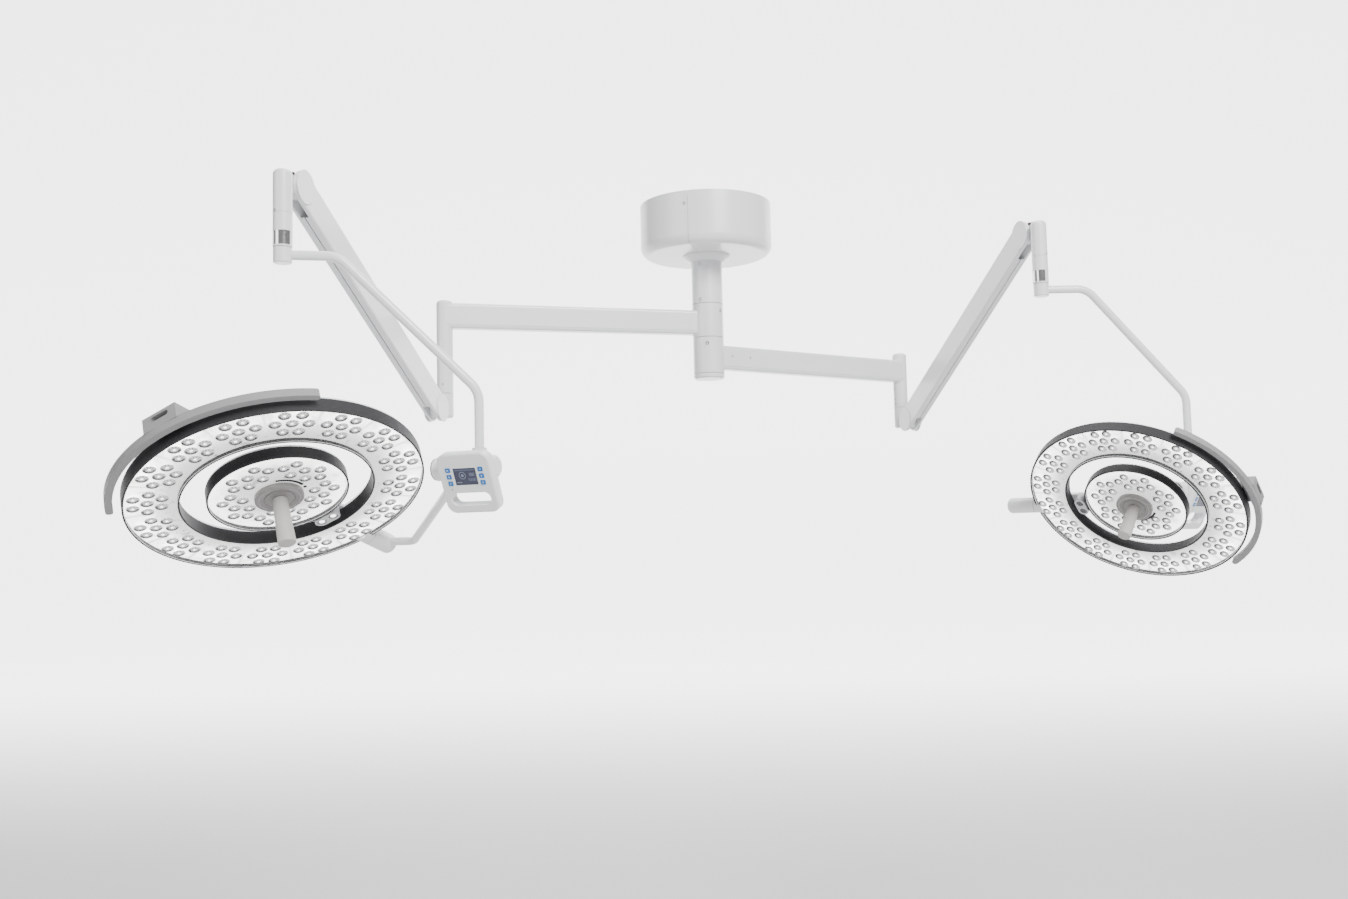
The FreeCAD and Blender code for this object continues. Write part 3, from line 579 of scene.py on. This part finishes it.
def draw_board(side):
    """White reflector behind the lenses: bright around each group, mottled between them. Its
    glow is painted light, as the reflector is no lamp, rising towards the outer edges and
    falling to painted shade inward.
    """
    paper = Paper("board_" + side, Roughness=0.3, Coat_Weight=0.4, Coat_Roughness=0.05)
    place, outer = head_frame(side), head_radius(side)
    origin = place.translation
    point = paper.position()
    across = paper.along(point, origin, place.col[0].xyz) / outer
    up = paper.along(point, origin, place.col[1].xyz) / outer
    reach = paper.maths("SQRT", across * across + up * up)
    turn = paper.maths("ARCTAN2", up, across)
    steps = sizes().ring_modules / math.tau
    cell = paper.maths("FRACT", turn * steps + 0.5 - sizes().ring_modules / 4)
    edge = paper.maths("ABSOLUTE", cell - 0.5)
    seam = edge.smooth(0.44, 0.49) * (reach > RING_START)
    mottle = paper.noise(point, 30.0, 5.0, 0.62).smooth(0.52, 0.64)
    spots = paper.noise(point, 100.0, 4.0, 0.6).smooth(0.58, 0.66)
    # Painted light: the glow rises towards the outer edge of the ring and of the disc and falls
    # to painted shade inward.
    ring_fade = (reach > RING_START) * reach.smooth(0.70, 0.97)
    disc_fade = (reach < RING_START) * reach.smooth(0.25, 0.47)
    inward = 1.0 - ring_fade - disc_fade
    dark = paper.maths("MAXIMUM", mottle * 0.85, spots * 0.92) * (inward * 0.65 + 0.35)
    dark = paper.maths("MAXIMUM", dark, seam * 0.5)
    dark = paper.maths("MAXIMUM", dark, inward * 0.72)
    tone = paper.mix(dark, (1.0, 1.0, 0.98), (0.03, 0.03, 0.03))
    paper.put("Base Color", paper.mix(dark, (0.80, 0.80, 0.79), (0.14, 0.14, 0.14)))
    # Painted light: the reflector glows at lamp strength though it is no lamp.
    paper.put("Emission Color", tone)
    paper.shader.inputs["Emission Strength"].default_value = LAMP_GLOW
    return paper.material


def draw_screen(side):
    """A dim screen picture: a bar, a row of blocks and a frame."""
    paper = Paper("screen_" + side, Roughness=0.16, Coat_Weight=0.5, Coat_Roughness=0.05)
    place = panel_frame(side)
    point = paper.position()
    across = paper.along(point, place.translation, place.col[0].xyz) * 1000.0
    up = paper.along(point, place.translation, place.col[1].xyz) * 1000.0
    ring = paper.maths("SQRT", (across + 8.0) * (across + 8.0) + (up - 20.0) * (up - 20.0))
    lamp = ring.within(7.2, 9.2)
    lamp_core = ring.within(0.0, 3.6)
    bars = paper.maths("FRACT", across / 4.0).within(0.15, 0.75)
    row = bars * across.within(6.0, 26.0) * up.within(6.0, 13.0)
    head = across.within(-27.0, 27.0) * up.within(31.5, 34.5)
    column = across.within(10.0, 24.0) * up.within(18.0, 26.0)
    low = across.within(-27.0, -12.0) * up.within(2.0, 5.0)
    dark = colours().screen
    tone = paper.mix(lamp, dark, (0.10, 0.12, 0.19))
    tone = paper.mix(lamp_core, tone, (0.13, 0.15, 0.22))
    tone = paper.mix(row, tone, (0.08, 0.10, 0.18))
    tone = paper.mix(head, tone, (0.05, 0.06, 0.12))
    tone = paper.mix(column, tone, (0.07, 0.08, 0.14))
    tone = paper.mix(low, tone, (0.11, 0.12, 0.16))
    paper.put("Base Color", tone)
    paper.put("Emission Color", tone)
    paper.shader.inputs["Emission Strength"].default_value = 0.08
    return paper.material


def draw_eye(name, glow):
    """A sensor eye: a dark pupil inside a ring, or a lit one whose glow is painted light, as the
    sensor is no lamp.
    """
    paper = Paper(name, Roughness=0.1, Coat_Weight=0.8, Coat_Roughness=0.02)
    flat = paper.vector("SUBTRACT", paper.uv(), (0.5, 0.5, 0.0))
    split = paper.node("ShaderNodeSeparateXYZ", {}, {"Vector": flat})
    across, up = Wire(paper, split.outputs[0]), Wire(paper, split.outputs[1])
    reach = paper.maths("SQRT", across * across + up * up) * 2.0
    pupil = 1.0 - reach.smooth(0.52, 0.72)
    inner = (0.95, 0.96, 0.97) if glow else (0.015, 0.016, 0.02)
    tone = paper.mix(pupil, (0.10, 0.10, 0.11), inner)
    paper.put("Base Color", tone)
    # Painted light: the lit pupil glows though the sensor is no lamp.
    if glow:
        paper.put("Emission Color", paper.mix(pupil, (0.0, 0.0, 0.0), inner))
        paper.shader.inputs["Emission Strength"].default_value = 4.0
    return paper.material


def draw_floor():
    paper = Paper("floor", Roughness=0.8)
    point = paper.position()
    paper.put("Base Color", paper.mix(paper.noise(point, 1.5), (0.60, 0.60, 0.60),
                                      (0.63, 0.63, 0.63)))
    away = paper.along(point, (0.0, 0.0, 0.0), (0.0, 1.0, 0.0)).smooth(0.5, 8.0)
    paper.put("Emission Color", paper.mix(away, (0.0, 0.0, 0.0), (1.0, 1.0, 1.0)))
    paper.shader.inputs["Emission Strength"].default_value = 3.6
    return paper.material


DRAWINGS = {
    "paint": draw_paint, "cover": draw_cover, "walls": draw_walls, "grip": draw_grip_painted_shade,
    "dish": draw_base, "handle": draw_handle, "pod": draw_pod, "chrome": draw_chrome,
    "steel": draw_steel, "socket": draw_socket, "end_shade_and_ring": draw_end_shade_and_ring, "keys": draw_keys,
    "marks": draw_marks, "dot": draw_dot, "window": draw_window, "lens": draw_lens,
    "board_left": lambda: draw_board("left"), "board_right": lambda: draw_board("right"),
    "screen_left": lambda: draw_screen("left"), "screen_right": lambda: draw_screen("right"),
    # The left eyes carry the painted glow, the right ones none.
    "eye_left": lambda: draw_eye("eye_left", True),
    "eye_right": lambda: draw_eye("eye_right", False), "floor": draw_floor,
}

NODE_MATERIALS = {
    "ceiling_plate": "paint", "canopy_left": "paint", "canopy_right": "paint",
    "canopy_collar": "paint", "column_spindle": "steel", "column_cap": "paint",
    "hub": "paint", "beam": "paint", "end_tube": "paint", "knuckle": "paint",
    "spring_arm": "paint", "spring_strut": "steel", "pivot_covers": "paint",
    "head_joint": "paint", "lock_segment": "chrome", "yoke": "paint",
    "joint_block": "paint", "panel_housing": "cover", "panel_keys": "keys",
    "fork_barrel": "paint", "fork_tube": "paint", "head_shell": "cover",
    "side_bands": "walls", "front_windows": "window", "handle_base": "dish",
    "centre_handle": "handle", "grab_handle": "grip", "camera_pod": "pod",
}


# ---------------------------------------------------------------- operators

class FixedFinish(bpy.types.Operator):
    """Gives every fixed part its material"""

    bl_idname = "surgical.fixed_finish"
    bl_label = "Finish the fixed parts"

    def execute(self, context):
        for name, node in frame["nodes"].items():
            side, _, piece = name.partition("_")
            if name in NODE_MATERIALS:
                chosen = NODE_MATERIALS[name]
            elif piece == "lamp_boards":
                chosen = "board_" + side
            elif piece == "panel_display":
                chosen = "screen_" + side
            else:
                chosen = NODE_MATERIALS[piece]
            node.data.materials.clear()
            node.data.materials.append(material(chosen))
            for face in node.data.polygons:
                face.material_index = 0
        return {"FINISHED"}


RING_LENSES = ((0.752, 3.8), (0.752, -3.8), (0.842, 0), (0.842, 7.2), (0.842, -7.2),
               (0.930, 3.4), (0.930, -3.4))
DISC_LENSES = ((0.240, 14), (0.240, -14), (0.316, 0), (0.318, 27), (0.318, -27),
               (0.372, 14.5), (0.372, -14.5))


def lens_spots():
    """Where each lens sits, as (share of the head's radius, degrees)."""
    spots = []
    for count, start, layout in ((sizes().ring_modules, 0, RING_LENSES),
                                 (sizes().disc_modules, 36, DISC_LENSES)):
        for step in range(count):
            for share, degrees in layout:
                spots.append((share, 90 + start + step * 360 / count + degrees))
    return spots


def add_uv_disc(mesh, layer, place, middle, radius, profile, steps):
    """A disc of (share of the radius, height) rings, with its own flat UV."""
    rings = []
    for reach, height in profile:
        ring = []
        for step in range(1 if reach == 0 else steps):
            turn = math.tau * step / steps
            spot = Vector((math.cos(turn), math.sin(turn), 0)) * reach * radius + middle
            spot.z = height
            ring.append((mesh.verts.new(place @ spot),
                         (0.5 + math.cos(turn) * reach / 2, 0.5 + math.sin(turn) * reach / 2)))
        rings.append(ring)
    for inner, outside in zip(rings, rings[1:]):
        for step in range(steps):
            after = (step + 1) % steps
            if len(inner) == 1:
                corners = [inner[0], outside[after], outside[step]]
            else:
                corners = [inner[step], inner[after], outside[after], outside[step]]
            face = mesh.faces.new([corner[0] for corner in corners])
            for loop, corner in zip(face.loops, corners):
                loop[layer].uv = corner[1]


def disc_object(mesh, name, chosen):
    """Turns a mesh of discs into an object."""
    data = bpy.data.meshes.new(name)
    mesh.to_mesh(data)
    mesh.free()
    data.materials.append(material(chosen))
    thing = bpy.data.objects.new(name, data)
    context_link(thing)
    soften(thing, 50)
    return thing


class Lenses(bpy.types.Operator):
    """Puts a faceted clear lens over every lens cup of both heads"""

    bl_idname = "surgical.lenses"
    bl_label = "Add lenses"

    def execute(self, context):
        for side in SIDES:
            self.build(side)
        return {"FINISHED"}

    def build(self, side):
        outer = head_radius(side)
        radius = outer * sizes().lens_share
        place = head_frame(side)
        mesh = bmesh.new()
        layer = mesh.loops.layers.uv.new("Lens")
        profile = [(reach, LENS_FACE - depth * LENS_DEPTH) for reach, depth in LENS_PROFILE]
        for share, degrees in lens_spots():
            angle = math.radians(degrees)
            middle = Vector((math.cos(angle), math.sin(angle), 0)) * outer * share
            add_uv_disc(mesh, layer, place, middle, radius, profile, LENS_STEPS)
        thing = disc_object(mesh, side + "_lenses", "lens")
        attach(thing, side + "_lamp_head")


def context_link(thing):
    bpy.context.scene.collection.objects.link(thing)


class WindowRims(bpy.types.Operator):
    """Adds the thin pale lips that hold the clear windows"""

    bl_idname = "surgical.window_rims"
    bl_label = "Add window rims"

    def execute(self, context):
        for side in SIDES:
            outer = head_radius(side)
            shape = Shape(head_frame(side))
            for radius, way in ((1.0, -1), (0.642, 1), (0.475, -1)):
                edge = outer * radius
                shape.lathe([(edge + way * 0.0006, 0.0001), (edge + way * 0.0006, 0.0012),
                             (edge + way * 0.0052, 0.0012), (edge + way * 0.0046, 0.0003),
                             (edge + way * 0.0006, 0.0001)], steps=128)
            shape.finish(side + "_window_rims", side + "_lamp_head", [material("cover")])
        return {"FINISHED"}


def socket_screw(shape, place, radius):
    """A button-head screw with a deep socket, half sunk in the surface."""
    local = shape.matrix.inverted() @ place
    shape.material = 0
    shape.lathe([(radius, -0.001), (radius, 0.0002), (radius * 0.86, 0.0009),
                 (radius * 0.62, 0.0009), (radius * 0.56, 0.0004)], local, steps=24)
    shape.material = 1
    shape.lathe([(radius * 0.56, 0.0004), (radius * 0.56, -0.0012),
                 (0.0, -0.0012)], local, steps=6)


def round_spot(degrees, height, radius):
    """A place on an upright tube, facing out."""
    angle = math.radians(degrees)
    normal = Vector((math.cos(angle), math.sin(angle), 0))
    point = normal * radius + Vector((0, 0, height))
    return facing(point, normal)


class Screws(bpy.types.Operator):
    """Adds the socket screws of the column, hubs, canopy, tubes and head joints"""

    bl_idname = "surgical.screws"
    bl_label = "Add screws"

    def execute(self, context):
        big = sizes().screw_radius
        spots = {
            "column": [(round_spot(-119, -0.192, COLUMN_RADIUS), big),
                       (round_spot(-119, -0.303, COLUMN_RADIUS), big),
                       (round_spot(-151, -0.543, SPINDLE_RADIUS), big * 0.6),
                       (round_spot(-37, -0.543, SPINDLE_RADIUS), big * 0.6),
                       (round_spot(-109.5, -0.040, CANOPY_RADIUS), big * 0.8)],
            "left_extension": [(round_spot(-38, -0.337, COLUMN_RADIUS), big * 0.9)],
            "right_extension": [(round_spot(-96, -0.441, COLUMN_RADIUS), big * 0.9)],
        }
        for side in SIDES:
            reach = joint_place(side + "_arm_swivel")[0]
            centre = moved(reach.x, reach.y, 0)
            rows = ((-95, -0.577),) if side == "left" else ((-150, -0.538), (-150, -0.575),
                                                            (-146, -0.590))
            for degrees, height in rows:
                spots[side + "_extension"].append(
                    (centre @ round_spot(degrees, height, END_TUBE_RADIUS), big * 0.45))
            yoke = joint_place(side + "_yoke_swivel")[0]
            centre = moved(yoke.x, yoke.y, yoke.z)
            degrees = -120 if side == "left" else -45
            spots[side + "_head_joint"] = [
                (centre @ round_spot(degrees, -0.072, HEAD_JOINT_RADIUS), big * 0.5)]
        for body, rows in spots.items():
            shape = Shape()
            for place, radius in rows:
                socket_screw(shape, place, radius)
            shape.finish(body + "_screws", body, [material("steel"), material("socket")],
                         smooth=30)
        return {"FINISHED"}


ICONS = (
    ((-1.6, -0.5, 1.6, 0.5),), ((-0.5, -1.6, 0.5, 1.6), (-1.6, -0.5, 1.6, 0.5)),
    ((-1.8, -1.4, -0.8, 1.4), (-0.3, -1.4, 0.5, 0.6), (1.0, -1.4, 1.8, -0.2)),
    ((-1.5, -1.5, 1.5, -0.7), (-1.5, 0.7, 1.5, 1.5)), ((-1.0, -1.0, 1.0, 1.0),),
    ((-1.8, -0.4, 0.0, 0.4), (0.4, -1.3, 1.2, 1.3)),
)


class PanelMarks(bpy.types.Operator):
    """Adds plain white icons on the keys and a small lamp below them"""

    bl_idname = "surgical.panel_marks"
    bl_label = "Add panel marks"

    def execute(self, context):
        for side in SIDES:
            shape = Shape(panel_frame(side))
            number = 0
            for way in (-1, 1):
                for step in range(3):
                    x, y = way * 0.043, 0.002 + 0.016 * step
                    for left, bottom, right, top in ICONS[number]:
                        shape.block((x + left / 1000, y + bottom / 1000, 0.0007),
                                    (x + right / 1000, y + top / 1000, 0.00125))
                    number += 1
            shape.finish(side + "_key_icons", side + "_joint_block", [material("marks")])
            lamp = Shape(panel_frame(side))
            lamp.lathe([(0.0, 0.0010), (0.0016, 0.0008), (0.0022, 0.0001), (0.0022, -0.0005)],
                       moved(-0.043, -0.0125, 0), steps=20)
            lamp.finish(side + "_panel_lamp", side + "_joint_block", [material("dot")])
        return {"FINISHED"}


class SensorEyes(bpy.types.Operator):
    """Adds the two round eyes in each sensor pod"""

    bl_idname = "surgical.sensor_eyes"
    bl_label = "Add sensor eyes"

    def execute(self, context):
        for side in SIDES:
            outer = head_radius(side)
            place = head_frame(side)
            for index, way in enumerate((-1, 1)):
                middle = Vector((way * outer * 0.05, outer * 0.535, 0))
                mesh = bmesh.new()
                layer = mesh.loops.layers.uv.new("Eye")
                profile = [(reach, height + EYE_LIFT) for reach, height in EYE_PROFILE]
                add_uv_disc(mesh, layer, place, middle, outer * 0.0335, profile, EYE_STEPS)
                thing = disc_object(mesh, side + "_eye_" + str(index + 1), "eye_" + side)
                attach(thing, side + "_lamp_head")
        return {"FINISHED"}


class ArmEnds(bpy.types.Operator):
    """Adds dark blocks of painted shade in the open ends of the spring arms and the dark ring at
    each barrel's end
    """

    bl_idname = "surgical.arm_ends"
    bl_label = "Add arm ends"

    def execute(self, context):
        for side in SIDES:
            place = arm_frame(side)
            reach = (joint_place(side + "_arm_levelling")[0]
                     - joint_place(side + "_arm_lift")[0]).length
            shape = Shape(place)
            # Painted shade: dark blocks filling the open ends of the spring arm, where there is
            # only shade.
            for low, high in (((-0.0395, -0.0085, -0.012), (-0.0345, 0.0085, 0.020)),
                              ((reach + 0.0345, -0.0085, -0.020),
                               (reach + 0.0395, 0.0085, 0.012))):
                shape.block(low, high, bevel=0.0012)
            shape.finish(side + "_arm_end_shade", side + "_spring_arm", [material("end_shade_and_ring")])
            barrel = Shape(fork_frame(side))
            local = moved(-0.1155, 0, 0) @ turned(-90, "Y")
            barrel.lathe([(0.0238, 0.0), (0.0256, 0.0006), (0.0256, 0.0022), (0.0238, 0.0028)],
                         local, steps=48)
            barrel.lathe([(0.0, 0.0028), (0.0232, 0.0028), (0.0238, 0.0024),
                          (0.0238, 0.0002)], local, steps=48)
            barrel.finish(side + "_barrel_ring", side + "_fork", [material("end_shade_and_ring")])
        return {"FINISHED"}


class DishRings(bpy.types.Operator):
    """Adds the fine groove and, as painted shade, the dark slot round each dish"""

    bl_idname = "surgical.dish_rings"
    bl_label = "Add dish rings"

    def execute(self, context):
        for side in SIDES:
            outer = head_radius(side)
            place = head_frame(side)
            shape = Shape(place)
            edge = outer * 0.14
            shape.lathe([(edge, -outer * 0.0338), (edge - 0.0009, -outer * 0.0338 - 0.0001),
                         (edge - 0.0009, -outer * 0.0322), (edge, -outer * 0.0322),
                         (edge, -outer * 0.0338)], steps=72)
            shape.finish(side + "_dish_groove", side + "_lamp_head", [material("pod")])
            # Painted shade: the slot is a thin dark sheet on the window's face, standing in for
            # the shade in the gap.
            slot = Shape(place)
            for first, last in ((302, 366), (372, 380)):
                self.arc(slot, outer, first, last)
            slot.finish(side + "_dish_slot_shade", side + "_lamp_head", [material("walls")])
        return {"FINISHED"}

    def arc(self, shape, outer, first, last):
        """A thin curved strip round the dish, on the clear window's face."""
        inner, far = outer * 0.177, outer * 0.199
        steps = max(2, int((last - first) / 3))
        angles = [math.radians(first + (last - first) * step / steps)
                  for step in range(steps + 1)]
        outline = [(inner * math.cos(turn), inner * math.sin(turn)) for turn in angles]
        outline += [(far * math.cos(turn), far * math.sin(turn)) for turn in reversed(angles)]
        shape.prism(outline, 0.0001, 0.0005)


class AccessCover(bpy.types.Operator):
    """Adds the thin access cover with two screws on the lower extension beam"""

    bl_idname = "surgical.access_cover"
    bl_label = "Add access cover"

    def execute(self, context):
        place = extension_frame("right")
        low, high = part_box("right_beam")
        middle = (low.z + high.z) / 2
        side = place @ moved(0, -BEAM_HALF_WIDTH, middle) @ turned(90, "X")
        shape = Shape(side)
        half, start, stop = 0.0245, 0.085, 0.185
        outline = [(stop, -half), (stop, half)]
        outline += [(start + half * math.cos(turn), half * math.sin(turn))
                    for turn in [math.radians(90 + step * 15) for step in range(13)]]
        shape.prism(outline, -0.0004, 0.0006)
        shape.finish("right_access_cover", "right_extension", [material("paint")])
        screws = Shape()
        for along in (0.075, 0.145):
            socket_screw(screws, side @ moved(along, 0.004, 0.0006), 0.0035)
        screws.finish("right_access_screws", "right_extension",
                      [material("steel"), material("socket")], smooth=30)
        return {"FINISHED"}


class Stage(bpy.types.Operator):
    """Adds the floor, the soft lights and the camera"""

    bl_idname = "surgical.stage"
    bl_label = "Add the stage"

    def execute(self, context):
        scene = context.scene
        mesh = bmesh.new()
        profile = [(-14.0, FLOOR_LEVEL), (9.0, FLOOR_LEVEL)]
        profile += [(9.0 + 3 * math.sin(turn), FLOOR_LEVEL + 3 * (1 - math.cos(turn)))
                    for turn in [math.radians(step * 9) for step in range(1, 11)]]
        profile.append((12.0, 9.0))
        rows = [[mesh.verts.new((x, y, z)) for y, z in profile] for x in (-16.0, 16.0)]
        for index in range(len(profile) - 1):
            mesh.faces.new((rows[0][index], rows[1][index], rows[1][index + 1],
                            rows[0][index + 1]))
        data = bpy.data.meshes.new("stage_floor")
        mesh.to_mesh(data)
        mesh.free()
        data.materials.append(material("floor"))
        floor = bpy.data.objects.new("stage_floor", data)
        context_link(floor)
        soften(floor, 60)

        world = bpy.data.worlds.new("studio")
        scene.world = world
        world.use_nodes = True
        world.node_tree.nodes["Background"].inputs["Color"].default_value = (1, 1, 1, 1)
        world.node_tree.nodes["Background"].inputs["Strength"].default_value = 0.32
        for name, place, aim, size, power in (
                ("stage_key", (2.6, -6.0, 3.2), (0, -0.4, -0.6), 2.6, 950),
                ("stage_fill", (-5.0, -4.0, 0.5), (0.0, -0.4, -0.7), 3.0, 90),
                ("stage_top", (0.0, 0.5, 3.5), (0, 0, 0), 4.0, 260)):
            lamp = bpy.data.lights.new(name, "AREA")
            lamp.size = size
            lamp.energy = power
            thing = bpy.data.objects.new(name, lamp)
            thing.location = place
            thing.rotation_euler = (Vector(aim) - Vector(place)).to_track_quat(
                "-Z", "Y").to_euler()
            context_link(thing)

        camera = bpy.data.cameras.new("stage_camera")
        camera.sensor_width = 36.0
        camera.lens = 33.649
        camera.clip_start, camera.clip_end = 0.05, 100.0
        thing = bpy.data.objects.new("stage_camera", camera)
        ahead = Vector((0, math.cos(CAMERA_PITCH), math.sin(CAMERA_PITCH)))
        upward = Vector((0, -math.sin(CAMERA_PITCH), math.cos(CAMERA_PITCH)))
        right = Vector((1, 0, 0))
        across = right * math.cos(CAMERA_ROLL) + upward * math.sin(CAMERA_ROLL)
        above = right * -math.sin(CAMERA_ROLL) + upward * math.cos(CAMERA_ROLL)
        thing.matrix_world = framed(Vector(CAMERA_PLACE), across, above, ahead * -1)
        context_link(thing)
        scene.camera = thing
        return {"FINISHED"}


class LightPanel(bpy.types.Panel):
    """Lists the light's pieces"""

    bl_idname = "VIEW3D_PT_surgical_light"
    bl_label = "Surgical light"
    bl_space_type = "VIEW_3D"
    bl_region_type = "UI"
    bl_category = "Surgical light"

    def draw(self, context):
        layout = self.layout
        for group in (context.scene.light_sizes, context.scene.light_colours):
            for name in group.bl_rna.properties.keys():
                if name not in ("rna_type", "name"):
                    layout.prop(group, name)
        for operator in OPERATORS:
            layout.operator(operator.bl_idname)


OPERATORS = (FixedFinish, Lenses, WindowRims, Screws, PanelMarks, SensorEyes, ArmEnds,
             DishRings, AccessCover, Stage)
CLASSES = (LightSizes, LightColours) + OPERATORS + (LightPanel,)


def register():
    for item in CLASSES:
        bpy.utils.register_class(item)
    bpy.types.Scene.light_sizes = PointerProperty(type=LightSizes)
    bpy.types.Scene.light_colours = PointerProperty(type=LightColours)


def unregister():
    del bpy.types.Scene.light_colours
    del bpy.types.Scene.light_sizes
    for item in reversed(CLASSES):
        bpy.utils.unregister_class(item)


def main():
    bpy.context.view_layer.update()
    register()
    for operator in OPERATORS:
        group, _, name = operator.bl_idname.partition(".")
        getattr(getattr(bpy.ops, group), name)()


if __name__ == "__main__":
    main()
